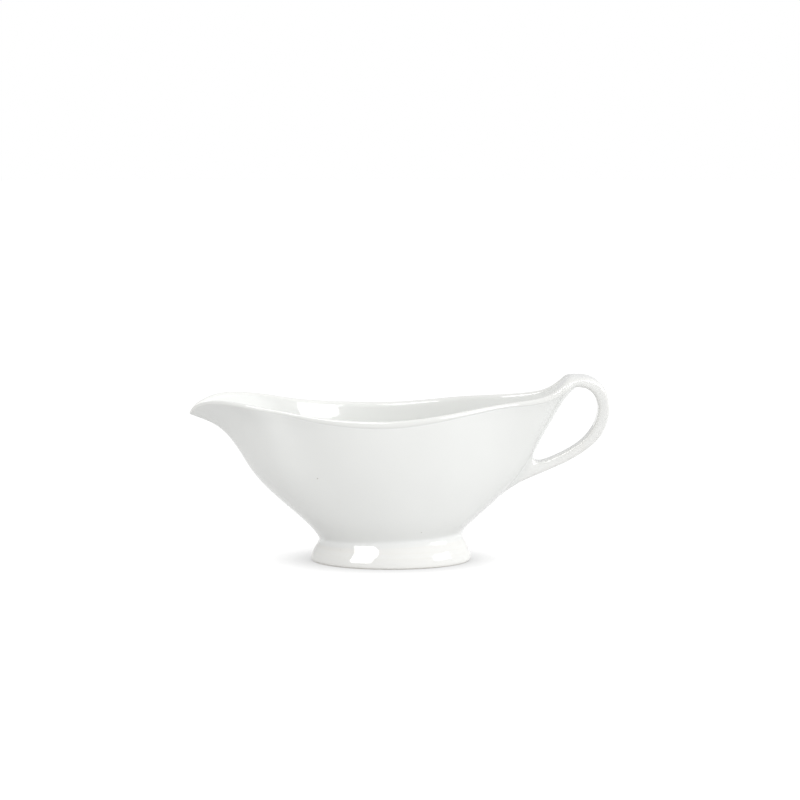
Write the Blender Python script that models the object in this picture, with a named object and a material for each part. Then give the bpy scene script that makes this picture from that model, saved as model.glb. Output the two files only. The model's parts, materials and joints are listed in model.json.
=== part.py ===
"""Footed porcelain gravy boat, in metres, +Z up, standing on z = 0.

X runs along the boat: the pouring lip points to -X and the handle to +X. The boat is symmetric about y = 0.
It is built as a pottery builds it: a cast bowl, an oval foot and a strap handle, joined by three seams of slip.
Dimensions are in millimetres and are turned into metres when a mesh is made.
"""

import math

import bpy
import numpy as np
from mathutils import Vector
from mathutils.bvhtree import BVHTree

MM = 0.001

# The boat is drawn about the middle of its foot's table, and moved along by this to stand centred in its box.
ALONG = 0.9

# Rings are worked out on many meridians, and the meshes keep fewer, closer together at both ends.
MERIDIANS = 960
COLUMNS = 96
EVEN = 1.2
BASE_ROWS = 4
BEAD_ROWS = 4
LIP_ROWS = 3
STRAP_RINGS = 26

# Half of the rim, from the pouring tip round to the middle of the back. Each row is a point on the rim's highest
# line (x, y, z), the height of the bead below it, how far the bead stands proud, how far the outer wall lies
# outside the line, and how far the inner wall lies inside it.
RIM = (
    (-115.5, 0.0, 81.9, 2.0, 0.4, 0.4, 1.5),
    (-113.9, 3.8, 84.3, 2.0, 0.5, 0.4, 1.5),
    (-109.0, 10.2, 87.8, 2.0, 0.6, 0.5, 1.6),
    (-100.0, 19.8, 90.3, 2.1, 0.7, 0.6, 1.8),
    (-90.0, 26.0, 90.1, 2.2, 0.8, 0.7, 2.0),
    (-78.0, 31.2, 88.6, 2.5, 1.0, 0.8, 2.2),
    (-62.0, 32.8, 86.0, 3.2, 1.2, 0.9, 2.4),
    (-46.0, 38.6, 83.8, 4.3, 1.5, 0.9, 2.6),
    (-28.0, 44.4, 82.5, 5.2, 1.7, 0.9, 2.7),
    (-8.0, 46.2, 82.1, 5.5, 1.8, 0.9, 2.7),
    (12.0, 44.3, 83.5, 4.9, 1.8, 0.9, 2.7),
    (30.0, 38.6, 85.9, 4.1, 1.7, 0.9, 2.7),
    (45.0, 29.6, 87.8, 3.6, 1.6, 0.9, 2.7),
    (58.0, 22.6, 89.2, 3.3, 1.5, 1.0, 2.6),
    (70.0, 19.4, 90.5, 3.3, 1.4, 1.2, 2.5),
    (79.0, 17.0, 92.4, 3.4, 1.3, 1.6, 2.4),
    (85.5, 14.8, 96.1, 3.7, 1.2, 2.2, 2.4),
    (90.6, 12.2, 100.6, 4.2, 1.0, 3.2, 2.4),
    (92.8, 7.0, 102.1, 5.4, 0.8, 3.5, 2.4),
    (93.2, 0.0, 102.4, 5.8, 0.6, 3.6, 2.4),
)

# The waist, where the bowl meets the foot: an ellipse that sits a little higher at the handle end.
FOOT_X = -5.3
WAIST_A = 39.2
WAIST_B = 30.0
WAIST_Z = 14.0
WAIST_TILT = 0.047

# The underside of the bowl in the middle plane, as (z, x): under the lip, and up the back.
LIP_LINE = ((12.1, -44.5), (20.0, -50.5), (30.0, -61.9), (40.0, -73.2), (50.0, -82.0),
            (60.0, -88.2), (68.0, -94.0), (73.0, -99.3), (76.5, -105.8), (79.9, -115.9))
BACK_LINE = ((15.9, 33.9), (22.0, 39.6), (29.0, 47.4), (38.0, 56.9), (48.0, 65.9), (58.5, 72.7),
             (70.0, 78.6), (80.0, 84.3), (88.4, 88.9), (93.3, 92.5), (96.6, 96.8))

# The heights of the outer wall's rings, as shares of the way from waist to rim.
LEVELS = (0.0, 0.07, 0.15, 0.24, 0.34, 0.45, 0.56, 0.66, 0.75, 0.83, 0.895, 0.945, 0.98, 1.0)

# How far a side wall has spread from waist to rim, at each share of its height.
SIDE_SPREAD = ((0.0, 0.0), (0.12, 0.34), (0.25, 0.56), (0.5, 0.82), (0.75, 0.945), (0.9, 0.985), (1.0, 1.0))
LIP_REACH = 0.50
BACK_REACH = 0.40
ROUNDING = 0.05

BASE_DROP = 5.3
BASE_FLATNESS = 6.5
WALL = 3.7
LIP_THINNING = 0.28
FLOOR = 4.6
RIM_BLEND = 0.6
INNER_ROUNDING = 0.011

# The foot's outer and inner sides, as (z, distance outside the waist).
FOOT_OUTSIDE = ((10.2, 1.35), (8.0, 2.85), (5.6, 4.05), (3.4, 4.8), (1.6, 5.0), (0.6, 4.9), (0.0, 4.3))
FOOT_INSIDE = ((0.0, 0.6), (1.0, -0.4), (4.0, -2.3), (7.5, -4.0))
FOOT_NARROWING = 0.86
FOOT_TOP = (0.992, 0.93, 0.87)

GAP = 0.3
SLIP = 1.2

# The strap as matching points on its inner line, facing the finger hole, and its outer line: x, z, x, z, width.
STRAP = (
    (100.6, 96.3, 100.6, 101.2, 24.0),
    (101.8, 95.9, 103.5, 101.7, 23.4),
    (103.9, 94.1, 107.3, 99.7, 21.2),
    (105.9, 91.3, 110.9, 95.9, 18.8),
    (107.6, 87.3, 113.4, 89.8, 16.2),
    (108.1, 83.4, 114.0, 83.2, 14.4),
    (107.4, 79.2, 113.2, 77.8, 13.3),
    (105.0, 73.3, 110.1, 70.2, 12.4),
    (100.6, 67.6, 105.0, 64.2, 11.8),
    (94.2, 62.6, 97.2, 58.1, 11.5),
    (86.0, 58.2, 88.3, 53.3, 11.5),
    (80.6, 55.9, 82.6, 50.8, 11.8),
    (77.6, 54.9, 77.7, 48.6, 12.2),
    (75.6, 54.7, 71.2, 45.8, 13.0),
    (74.8, 54.8, 64.8, 41.5, 14.4),
)
STRAP_UPPER_WAY = (-1.0, 0.0, -0.18)
STRAP_LOWER_WAY = (-0.79, 0.0, 0.61)
# The strap's section, from one inner corner round: (across, out), as shares of half the width and thickness.
INNER_FACE = tuple((0.8 - 0.2 * i, -1.0) for i in range(9))
SIDE_FACE = ((0.97, -0.78), (1.0, -0.2), (0.995, 0.4))
OUTER_FACE = ((0.93, 0.72), (0.72, 0.90), (0.48, 0.97), (0.24, 0.995), (0.0, 1.0))
LEAST_SLANT = 0.4
CAP_SCALES = (0.9, 0.78, 0.62, 0.42, 0.2)


def clear_scene():
    for obj in list(bpy.data.objects):
        bpy.data.objects.remove(obj, do_unlink=True)


def new_collection(name):
    made = bpy.data.collections.new(name)
    bpy.context.scene.collection.children.link(made)
    return made


def material(name, colour, roughness):
    made = bpy.data.materials.new(name)
    made.use_nodes = True
    shader = made.node_tree.nodes["Principled BSDF"]
    shader.inputs["Base Color"].default_value = (*colour, 1.0)
    shader.inputs["Roughness"].default_value = roughness
    shader.inputs["Metallic"].default_value = 0.0
    made.diffuse_color = (*colour, 1.0)
    return made


def unit(vectors):
    return vectors / np.linalg.norm(vectors, axis=-1, keepdims=True)


def ease(share):
    share = np.clip(share, 0.0, 1.0)
    return share * share * (3.0 - 2.0 * share)


def spline(knots, values, at):
    """The natural cubic spline through values at knots, read at the places in at."""
    knots = np.array(knots, float)
    values = np.array(values, float)
    count = len(knots)
    gap = np.diff(knots)
    step = np.diff(values, axis=0)
    matrix = np.zeros((count, count))
    right = np.zeros_like(values)
    matrix[0, :2] = 2.0, 1.0
    matrix[-1, -2:] = 1.0, 2.0
    right[0] = 3.0 * step[0] / gap[0]
    right[-1] = 3.0 * step[-1] / gap[-1]
    for i in range(1, count - 1):
        before, after = gap[i - 1], gap[i]
        matrix[i, i - 1:i + 2] = after, 2.0 * (before + after), before
        right[i] = 3.0 * (after * step[i - 1] / before + before * step[i] / after)
    slope = np.linalg.solve(matrix, right)
    at = np.atleast_1d(at)
    i = np.clip(np.searchsorted(knots, at, side="right") - 1, 0, count - 2)
    width = gap[i]
    t = (at - knots[i]) / width
    if values.ndim > 1:
        width = width[:, None]
        t = t[:, None]
    start = values[i] * (1 + 2 * t) + slope[i] * width * t
    end = values[i + 1] * (3 - 2 * t) - slope[i + 1] * width * (1 - t)
    return start * (1 - t) ** 2 + end * t ** 2


def lengths(points):
    return np.concatenate([[0.0], np.cumsum(np.linalg.norm(np.diff(points, axis=0), axis=1))])


def columns(ring):
    """A mesh's share of a smooth ring's points, closer together at the lip and at the back."""
    u = np.arange(COLUMNS) / COLUMNS
    half = 0.5 * EVEN
    share = (u + half * (u - np.sin(4 * math.pi * u) / (4 * math.pi))) / (1 + half)
    closed = np.vstack([ring, ring[:1]])
    places = np.arange(MERIDIANS + 1) / MERIDIANS
    return np.stack([np.interp(share, places, axis) for axis in closed.T], axis=1)


def rim_stations():
    """MERIDIANS rows of the RIM table's columns, evenly spaced round the closed rim, from the tip."""
    half = np.array(RIM)
    mirrored = half[-2:0:-1] * np.array([1, -1, 1, 1, 1, 1, 1])
    loop = np.vstack([half, mirrored])
    count = len(loop)
    twice = np.vstack([loop, loop, loop[:1]])
    knots = lengths(twice[:, :3])
    start = knots[count // 2]
    fine = spline(knots, twice, np.linspace(start, start + knots[count], 8001))
    length = lengths(fine[:, :3])
    wanted = np.linspace(0.0, length[-1], MERIDIANS + 1)[:-1]
    rows = np.stack([np.interp(wanted, length, column) for column in fine.T], axis=1)
    return np.roll(rows, MERIDIANS // 2, axis=0)


def rim_frame(line):
    """The directions out of the bowl and up, both square to the rim's line."""
    tangent = unit(np.roll(line, -1, axis=0) - np.roll(line, 1, axis=0))
    up = np.array([0.0, 0.0, 1.0])
    up = unit(up - tangent * (tangent @ up)[:, None])
    out = np.cross(tangent, up)
    if np.sum((line - line.mean(axis=0)) * out) < 0:
        out = -out
    return out, up


def rounded(ring, amount):
    """The ring with its sharp turns rounded, as a share of its length."""
    waves = np.fft.rfft(ring, axis=0)
    turns = np.arange(len(waves))[:, None] * 2 * math.pi
    return np.fft.irfft(waves * np.exp(-0.5 * (turns * amount) ** 2), len(ring), axis=0)


def waist_ring():
    angle = math.pi + 2 * math.pi * np.arange(MERIDIANS) / MERIDIANS
    x = WAIST_A * np.cos(angle)
    y = -WAIST_B * np.sin(angle)
    return np.stack([FOOT_X + x, y, WAIST_Z + WAIST_TILT * x], axis=1)


def end_shares():
    """How much each meridian belongs to the pouring lip, and how much to the back."""
    share = np.arange(MERIDIANS) / MERIDIANS
    from_tip = 2 * np.minimum(share, 1 - share)
    return 1 - ease(from_tip / LIP_REACH), ease((from_tip - 1 + BACK_REACH) / BACK_REACH)


def wall_rings(waist, top):
    """Rings of the outer wall from the waist to the underside of the bead."""
    lip, back = end_shares()
    middle = MERIDIANS // 2
    heights, spread = np.array(SIDE_SPREAD).T
    rings = []
    for height in LEVELS:
        target = rounded(top, ROUNDING * (1 - height))
        z = waist[:, 2] * (1 - height) + target[:, 2] * height
        lip_x = spline(*np.array(LIP_LINE).T, z[0])[0]
        back_x = spline(*np.array(BACK_LINE).T, z[middle])[0]
        lip_spread = (lip_x - waist[0, 0]) / (target[0, 0] - waist[0, 0])
        back_spread = (back_x - waist[middle, 0]) / (target[middle, 0] - waist[middle, 0])
        side_spread = spline(heights, spread, height)[0]
        out = side_spread + lip * (lip_spread - side_spread) + back * (back_spread - side_spread)
        if height in (0.0, 1.0):
            out = np.full(MERIDIANS, height)
        ring = waist * (1 - out[:, None]) + target * out[:, None]
        ring[:, 2] = z
        rings.append(ring)
    return rings


def base_ring(waist, share):
    """A ring of the bowl's underside: share is 1 at the waist and 0 in the middle."""
    middle = np.array([FOOT_X, 0.0, 0.0])
    ring = middle + (waist - middle) * share
    ring[:, 2] = WAIST_Z - BASE_DROP * (1 - share ** BASE_FLATNESS) + WAIST_TILT * (ring[:, 0] - FOOT_X)
    return ring


def base_rings(waist):
    shares = [math.sin(0.5 * math.pi * i / (BASE_ROWS + 1)) ** 0.7 for i in range(1, BASE_ROWS + 1)]
    return [base_ring(waist, share) for share in shares]


def outward(rings):
    """The outward unit normal at each point of a stack of rings that runs from the base up."""
    rings = np.array(rings)
    along_rim = np.roll(rings, -1, axis=1) - np.roll(rings, 1, axis=1)
    up_wall = np.gradient(rings, axis=0)
    normal = unit(np.cross(up_wall, along_rim))
    if np.sum((rings - rings.mean(axis=(0, 1))) * normal) < 0:
        normal = -normal
    return normal


def bezier(start, first, second, end, count):
    """count rings on the Bezier curves between two rings, without the ends."""
    made = []
    for i in range(1, count + 1):
        t = i / (count + 1)
        made.append(start * (1 - t) ** 3 + 3 * first * t * (1 - t) ** 2 + 3 * second * t * t * (1 - t) + end * t ** 3)
    return made


class Bowl:
    """The bowl's surfaces as rings of points, each starting at the pouring lip."""

    def __init__(self):
        stations = rim_stations()
        self.line = stations[:, :3]
        self.bead, self.proud, self.outer, self.inner = (column[:, None] for column in stations[:, 3:].T)
        self.out, self.up = rim_frame(self.line)
        self.waist = waist_ring()
        self.top = self.at_rim(self.outer, -self.bead)
        self.base = base_rings(self.waist)
        self.wall = wall_rings(self.waist, self.top)
        self.outside = self.base + self.wall
        self.normals = outward(self.outside)

    def at_rim(self, out, up):
        return self.line + self.out * out + self.up * up

    def bead_outside(self):
        bulge = self.outer + 1.35 * self.proud
        crest = ease((self.line[:, :1] - 84.0) / 9.0)
        low = self.at_rim(bulge, 0.92 * (crest - 1) * self.bead)
        high = self.at_rim(bulge, (0.12 * crest - 0.02) * self.bead)
        return bezier(self.top, low, high, self.line, BEAD_ROWS)

    def lip_inside(self):
        edge = self.inner_edge()
        first = self.at_rim(-0.6 * self.inner, 0.0)
        second = self.at_rim(-0.95 * self.inner, -0.45 * self.inner)
        return bezier(self.line, first, second, edge, LIP_ROWS)

    def inner_edge(self):
        return self.at_rim(-self.inner, -self.inner)

    def inside(self):
        """The inner wall and floor, from the lip down to the middle."""
        edge_shift = self.inner_edge() - self.top
        lip = end_shares()[0][:, None]
        rings = []
        for i, ring in enumerate(self.outside):
            height = LEVELS[max(0, i - len(self.base))]
            blend = ease((height - RIM_BLEND) / (1 - RIM_BLEND))
            thickness = WALL * (1 - LIP_THINNING * lip * height) + (FLOOR - WALL) * (1 - height) ** 2
            inner = ring - self.normals[i] * thickness * (1 - blend) + edge_shift * blend
            rings.append(inner if height == 1.0 else rounded(inner, INNER_ROUNDING * (1 - blend)))
        return rings[::-1]

    def rings(self):
        return self.outside + self.bead_outside() + [self.line] + self.lip_inside() + self.inside()

    def offset_ring(self, level, distance):
        """A ring lying distance off the outside, at a level counted in rows from the first base ring."""
        low = int(level)
        share = level - low
        point = self.outside[low] * (1 - share) + self.outside[low + 1] * share
        normal = unit(self.normals[low] * (1 - share) + self.normals[low + 1] * share)
        return point + normal * distance

    def base_offset_ring(self, share, distance):
        """The same under the base, at a share of the waist's size."""
        near = base_ring(self.waist, share)
        step = 0.004
        normal = outward([base_ring(self.waist, share - step), near, base_ring(self.waist, share + step)])[1]
        if normal[:, 2].mean() > 0:
            normal = -normal
        return near + normal * distance

    def skin(self):
        """The outside as a tree that rays can be cast at."""
        rings = self.outside + self.bead_outside() + [self.line]
        points = [Vector(point) for ring in rings for point in columns(ring)]
        return BVHTree.FromPolygons(points, strips(len(rings), COLUMNS, False))


def strips(rows, around, closed):
    """Quads between neighbouring rings of points; closed joins the last ring to the first."""
    faces = []
    for i in range(rows if closed else rows - 1):
        low, high = i * around, (i + 1) % rows * around
        for j in range(around):
            k = (j + 1) % around
            faces.append((low + j, low + k, high + k, high + j))
    return faces


def in_metres(point):
    return ((point[0] + ALONG) * MM, point[1] * MM, point[2] * MM)


def solid(name, rings, look, home, closed=False, middles=None):
    """A closed body lofted over rings; each of the two middles closes an end with a fan."""
    around = len(rings[0])
    points = [in_metres(point) for ring in rings for point in ring]
    faces = strips(len(rings), around, closed)
    if middles is not None:
        for middle, start in zip(middles, (0, (len(rings) - 1) * around)):
            points.append(in_metres(middle))
            hub = len(points) - 1
            for j in range(around):
                edge = (start + j, start + (j + 1) % around)
                faces.append((hub, *edge[::-1]) if start == 0 else (hub, *edge))
    mesh = bpy.data.meshes.new(name)
    mesh.from_pydata(points, [], faces)
    mesh.update()
    made = bpy.data.objects.new(name, mesh)
    home.objects.link(made)
    mesh.materials.append(look)
    face_outwards(mesh)
    mesh.shade_smooth()
    mesh.set_sharp_from_angle(angle=math.radians(40))
    return made


def face_outwards(mesh):
    """Turns every face round if the body's signed volume is negative."""
    volume = 0.0
    for face in mesh.polygons:
        corners = [mesh.vertices[i].co for i in face.vertices]
        for second, third in zip(corners[1:], corners[2:]):
            volume += corners[0].dot(second.cross(third))
    if volume < 0:
        mesh.flip_normals()


def make_bowl(bowl, look, home):
    rings = [columns(ring) for ring in bowl.rings()]
    under = np.array([FOOT_X, 0.0, WAIST_Z - BASE_DROP])
    return solid("bowl", rings, look, home, middles=(under, under + (0.0, 0.0, FLOOR)))


def foot_ring(waist, z, beyond):
    """A ring of the foot, beyond the waist by this much at the ends and a little less at the sides."""
    ring = waist.copy()
    centre = np.array([FOOT_X, 0.0, 0.0])
    ring = (ring - centre) * (1 + np.array([beyond / WAIST_A, beyond * FOOT_NARROWING / WAIST_B, 0.0])) + centre
    ring[:, 2] = z * (1 + WAIST_TILT * (waist[:, 0] - FOOT_X) / WAIST_Z)
    return ring


def make_foot(bowl, look, home):
    top = [bowl.base_offset_ring(share, 2 * GAP + SLIP) for share in FOOT_TOP[::-1]]
    outside = [foot_ring(bowl.waist, z, beyond) for z, beyond in FOOT_OUTSIDE]
    inside = [foot_ring(bowl.waist, z, beyond) for z, beyond in FOOT_INSIDE]
    rings = [columns(ring) for ring in top + outside + inside]
    return solid("foot", rings, look, home, closed=True)


def make_foot_seam(bowl, look, home):
    first_wall = len(bowl.base)
    near = [bowl.base_offset_ring(share, GAP) for share in (0.87, 0.94, 0.99)]
    fillet = [
        bowl.offset_ring(first_wall + 0.25, GAP),
        bowl.offset_ring(first_wall + 0.22, GAP + 0.25),
        bowl.base_offset_ring(1.0, GAP + 0.7),
    ]
    far = [bowl.base_offset_ring(share, GAP + SLIP) for share in (0.992, 0.93, 0.87)]
    rings = [columns(ring) for ring in near + fillet + far]
    return solid("foot_luting_seam", rings, look, home, closed=True)


def strap_section(row, scale=1.0):
    """A ring of the strap: inner face, far side, outer face, near side, about its middle at a scale."""
    inner = np.array([row[0], 0.0, row[1]])
    outer = np.array([row[2], 0.0, row[3]])
    half = np.array([0.0, 0.5 * row[4], 0.0])
    far = [(-across, out) for across, out in SIDE_FACE]
    near = list(SIDE_FACE[::-1])
    top = [(-across, out) for across, out in OUTER_FACE] + list(OUTER_FACE[-2::-1])
    outline = list(INNER_FACE) + far + top + near
    middle = 0.5 * (inner + outer)
    thick = 0.5 * (outer - inner)
    return np.array([middle + (thick * out + half * across) * scale for across, out in outline])


def strap_rows():
    """The strap's rows at even steps along its middle line, from the crest to the back."""
    rows = np.array(STRAP)
    knots = lengths(0.5 * (rows[:, 0:2] + rows[:, 2:4]))
    return spline(knots, rows, np.linspace(0.0, knots[-1], STRAP_RINGS))


def land_on(skin, points, direction, gap):
    """Moves points along a direction until they lie gap off the skin."""
    way = Vector(direction).normalized()
    landed = []
    for point in points:
        place, normal, _, _ = skin.ray_cast(Vector(point), way)
        slant = max(abs(normal.dot(way)), LEAST_SLANT)
        landed.append(np.array(place - way * (gap / slant)))
    return np.array(landed)


def end_of_strap(last):
    """The row and the direction of the strap's upper or lower end."""
    rows = strap_rows()
    return (rows[-1], STRAP_LOWER_WAY) if last else (rows[0], STRAP_UPPER_WAY)


def middle_of(row):
    return np.array([0.5 * (row[0] + row[2]), 0.0, 0.5 * (row[1] + row[3])])


def make_handle(skin, look, home):
    rings = [strap_section(row) for row in strap_rows()]
    middles = []
    gap = 2 * GAP + SLIP
    for last in (False, True):
        row, direction = end_of_strap(last)
        ends = [land_on(skin, strap_section(row, scale), direction, gap) for scale in (1.0, *CAP_SCALES)]
        middles.append(land_on(skin, [middle_of(row)], direction, gap)[0])
        rings = rings + ends if last else ends[::-1] + rings
    return solid("handle", rings, look, home, middles=middles)


def make_strap_seam(name, skin, last, spread, look, home):
    """A pad of slip between the bowl and one end of the strap, spreading where it touches the bowl."""
    row, direction = end_of_strap(last)
    caps = len(CAP_SCALES)
    spreads = (*(spread * scale for scale in CAP_SCALES[::-1]), spread, 1 + 0.35 * (spread - 1), 1.0, *CAP_SCALES)
    gaps = (GAP,) * (caps + 1) + (GAP + 0.5 * SLIP,) + (GAP + SLIP,) * (caps + 1)
    rings = [land_on(skin, strap_section(row, scale), direction, gap) for scale, gap in zip(spreads, gaps)]
    middles = [land_on(skin, [middle_of(row)], direction, gap)[0] for gap in (GAP, GAP + SLIP)]
    return solid(name, rings, look, home, middles=middles)


def main():
    clear_scene()
    home = new_collection("gravy_boat")
    glaze = material("glazed_porcelain", (0.86, 0.87, 0.85), 0.08)
    foot_glaze = material("foot_glaze", (0.86, 0.87, 0.84), 0.10)
    strap_glaze = material("handle_glaze", (0.86, 0.86, 0.84), 0.08)
    slip = material("luting_slip", (0.84, 0.83, 0.80), 0.20)
    bowl = Bowl()
    skin = bowl.skin()
    make_bowl(bowl, glaze, home)
    make_foot(bowl, foot_glaze, home)
    make_foot_seam(bowl, slip, home)
    make_handle(skin, strap_glaze, home)
    make_strap_seam("handle_upper_luting_seam", skin, False, 1.04, slip, home)
    make_strap_seam("handle_lower_luting_seam", skin, True, 1.3, slip, home)


main()
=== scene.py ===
"""A footed white porcelain gravy boat on a white studio floor.

The bowl, foot and strap handle are one continuous glazed surface, made as a coarse cage and then subdivided.
The surface is cut along the luting seams into the same six pieces as the CAD frame, and each is closed inside.
"""

import json
import math

import bmesh
import bpy
import numpy as np
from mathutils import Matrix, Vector


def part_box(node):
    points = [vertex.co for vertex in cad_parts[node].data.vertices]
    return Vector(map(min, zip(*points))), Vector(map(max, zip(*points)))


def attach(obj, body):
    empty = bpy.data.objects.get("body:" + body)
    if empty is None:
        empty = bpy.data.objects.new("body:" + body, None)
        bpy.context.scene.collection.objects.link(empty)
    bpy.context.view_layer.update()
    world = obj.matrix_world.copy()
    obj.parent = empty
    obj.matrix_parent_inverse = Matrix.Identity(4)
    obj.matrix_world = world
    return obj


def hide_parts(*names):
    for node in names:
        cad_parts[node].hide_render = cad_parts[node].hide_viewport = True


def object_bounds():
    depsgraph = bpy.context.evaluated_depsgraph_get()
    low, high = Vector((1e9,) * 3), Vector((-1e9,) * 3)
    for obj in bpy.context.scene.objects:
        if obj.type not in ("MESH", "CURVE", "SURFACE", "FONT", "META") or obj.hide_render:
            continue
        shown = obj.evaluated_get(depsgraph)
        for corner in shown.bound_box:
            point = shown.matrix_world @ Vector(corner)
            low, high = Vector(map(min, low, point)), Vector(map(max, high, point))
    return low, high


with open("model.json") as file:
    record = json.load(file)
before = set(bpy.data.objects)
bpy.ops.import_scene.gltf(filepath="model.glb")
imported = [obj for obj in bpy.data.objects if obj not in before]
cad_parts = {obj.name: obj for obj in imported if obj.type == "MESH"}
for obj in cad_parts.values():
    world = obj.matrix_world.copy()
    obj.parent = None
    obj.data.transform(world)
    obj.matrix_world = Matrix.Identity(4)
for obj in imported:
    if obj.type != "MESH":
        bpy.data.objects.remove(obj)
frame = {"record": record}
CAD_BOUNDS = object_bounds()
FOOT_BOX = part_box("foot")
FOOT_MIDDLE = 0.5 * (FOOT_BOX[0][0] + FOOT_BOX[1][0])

MM = 0.001

# The smooth rings are worked out on many meridians, and the cage keeps fewer, closer together at both ends.
MERIDIANS = 1536
COLUMNS = 96
BACK = COLUMNS // 2
SUBDIVISIONS = 2
EVEN = 1.4

# Half of the rim, from the pouring tip round to the middle of the back. Each row is a point on the rim's highest
# line (x, y, z), the height of the bead below it, how far the bead stands proud, how far the outer wall lies
# outside the line, and how far the inner wall lies inside it.
RIM = (
    (-115.5, 0.0, 81.9, 1.8, 0.15, 0.4, 1.5),
    (-113.9, 3.8, 84.3, 1.8, 0.19, 0.4, 1.5),
    (-109.0, 10.2, 87.8, 1.8, 0.22, 0.5, 1.6),
    (-100.0, 19.8, 90.3, 1.89, 0.26, 0.6, 1.8),
    (-90.0, 26.0, 90.1, 1.98, 0.3, 0.7, 2.0),
    (-78.0, 31.2, 88.6, 2.25, 0.37, 0.8, 2.2),
    (-62.0, 32.8, 86.0, 2.25, 0.44, 0.9, 2.4),
    (-46.0, 38.6, 83.8, 3.03, 0.56, 0.9, 2.6),
    (-28.0, 44.4, 82.5, 3.66, 0.63, 0.9, 2.7),
    (-8.0, 46.2, 82.1, 3.87, 0.67, 0.9, 2.7),
    (12.0, 44.3, 83.5, 3.45, 0.67, 0.9, 2.7),
    (30.0, 38.6, 85.9, 2.89, 0.63, 0.9, 2.7),
    (45.0, 29.6, 87.8, 2.53, 0.59, 0.9, 2.7),
    (58.0, 22.6, 89.2, 2.32, 0.56, 1.0, 2.6),
    (70.0, 19.4, 90.5, 2.97, 0.52, 1.2, 2.5),
    (79.0, 17.0, 92.4, 3.06, 0.49, 1.6, 2.4),
    (85.5, 14.8, 96.1, 3.33, 0.44, 2.2, 2.4),
    (90.6, 12.2, 100.6, 4.2, 0.6, 3.2, 2.4),
    (92.8, 7.0, 102.1, 5.4, 0.48, 3.5, 2.4),
    (93.2, 0.0, 102.4, 5.8, 0.36, 3.6, 2.4),
)

# The waist, where the bowl meets the foot: an ellipse that sits a little higher at the handle end.
FOOT_X = -5.3
WAIST_A = 39.2
WAIST_B = 30.0
WAIST_Z = 14.0
WAIST_TILT = 0.047

# The underside of the bowl in the middle plane, as (z, x): under the lip, and up the back.
LIP_LINE = ((12.1, -44.5), (20.0, -50.5), (30.0, -61.9), (40.0, -73.2), (50.0, -82.0),
            (60.0, -88.2), (68.0, -94.0), (73.0, -99.3), (76.5, -105.8), (79.9, -115.9))
BACK_LINE = ((15.9, 33.9), (22.0, 39.6), (29.0, 47.4), (38.0, 56.9), (48.0, 65.9), (58.5, 72.7),
             (70.0, 78.6), (80.0, 84.3), (88.4, 89.3), (93.3, 93.2), (96.6, 96.8))

# The heights of the cage's rings up the outer wall, as shares of the way from waist to rim.
LEVELS = (0.10, 0.135, 0.178, 0.225, 0.278, 0.341, 0.404, 0.467, 0.529, 0.575, 0.62, 0.66, 0.70,
          0.735, 0.77, 0.80, 0.83, 0.86, 0.885, 0.91, 0.93, 0.95, 0.967, 0.983, 1.0)
LOWER_ROOT = (0.278, 0.529)
ROOT_HALF = 4
HANDLE_SIDE = 45.0
RIM_SAMPLES = 8001

# How far a side wall has spread from waist to rim, at each share of its height.
SIDE_SPREAD = ((0.0, 0.0), (0.12, 0.34), (0.25, 0.56), (0.5, 0.82), (0.75, 0.945), (0.9, 0.985), (1.0, 1.0))
LIP_REACH = 0.50
BACK_REACH = 0.40
ROUNDING = 0.05

BEAD_ROWS = 5
LIP_ROWS = 3
BASE_DROP = 5.3
BASE_FLATNESS = 6.5
BASE_SHARES = (0.12, 0.28, 0.44, 0.58, 0.70)
WALL = 3.7
LIP_THINNING = 0.28
FLOOR = 4.6
RIM_BLEND = 0.6
INNER_ROUNDING = 0.011

# The foot's outer and inner sides, as (z, distance outside the waist).
FOOT_OUTSIDE = ((0.0, 4.2), (0.25, 4.75), (0.9, 5.0), (2.4, 4.95), (3.3, 4.8), (4.4, 4.5), (5.8, 3.95),
                (7.2, 3.3), (8.8, 2.35), (10.4, 1.4), (12.0, 0.6), (14.0, 0.0))
FOOT_INSIDE = ((9.6, -4.7), (7.5, -4.0), (4.0, -2.3), (1.4, -0.6), (0.5, 0.1), (0.0, 0.7))
FOOT_NARROWING = 0.86
FOOT_STEP = 0.15
CAGE_STEP = 0.85
SMOOTHING = 1.3
SEAM_REACH = 2.2

# The strap as matching points on its inner line, facing the finger hole, and its outer line: x, z, x, z, width.
STRAP = (
    (99.7, 96.2, 99.1, 102.4, 25.2),
    (102.0, 95.2, 103.5, 101.7, 23.4),
    (104.1, 93.6, 107.3, 99.7, 21.2),
    (106.1, 91.0, 111.35, 95.9, 18.8),
    (107.6, 87.3, 113.85, 89.8, 16.2),
    (108.1, 83.4, 114.45, 83.2, 14.4),
    (107.4, 79.2, 113.65, 77.8, 13.3),
    (105.0, 73.3, 110.55, 70.2, 12.4),
    (100.6, 67.6, 105.45, 64.2, 11.8),
    (94.2, 62.6, 97.2, 58.1, 11.5),
    (86.0, 58.2, 88.3, 53.3, 11.5),
    (80.6, 55.9, 82.6, 50.8, 11.8),
    (77.3, 54.9, 77.6, 48.6, 12.2),
    (75.2, 54.9, 70.7, 45.7, 13.0),
    (73.6, 55.6, 63.5, 42.3, 14.4),
)
STRAP_RINGS = 30
# The strap's section, from one inner corner round: (across, out), as shares of half the width and thickness.
INNER_FACE = tuple((0.8 - 0.2 * i, -1.0) for i in range(9))
SIDE_FACE = ((0.97, -0.78), (1.0, -0.2), (1.0, 0.45))
OUTER_FACE = ((0.95, 0.76), (0.74, 0.90), (0.48, 0.97), (0.24, 0.995), (0.0, 1.0))

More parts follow.
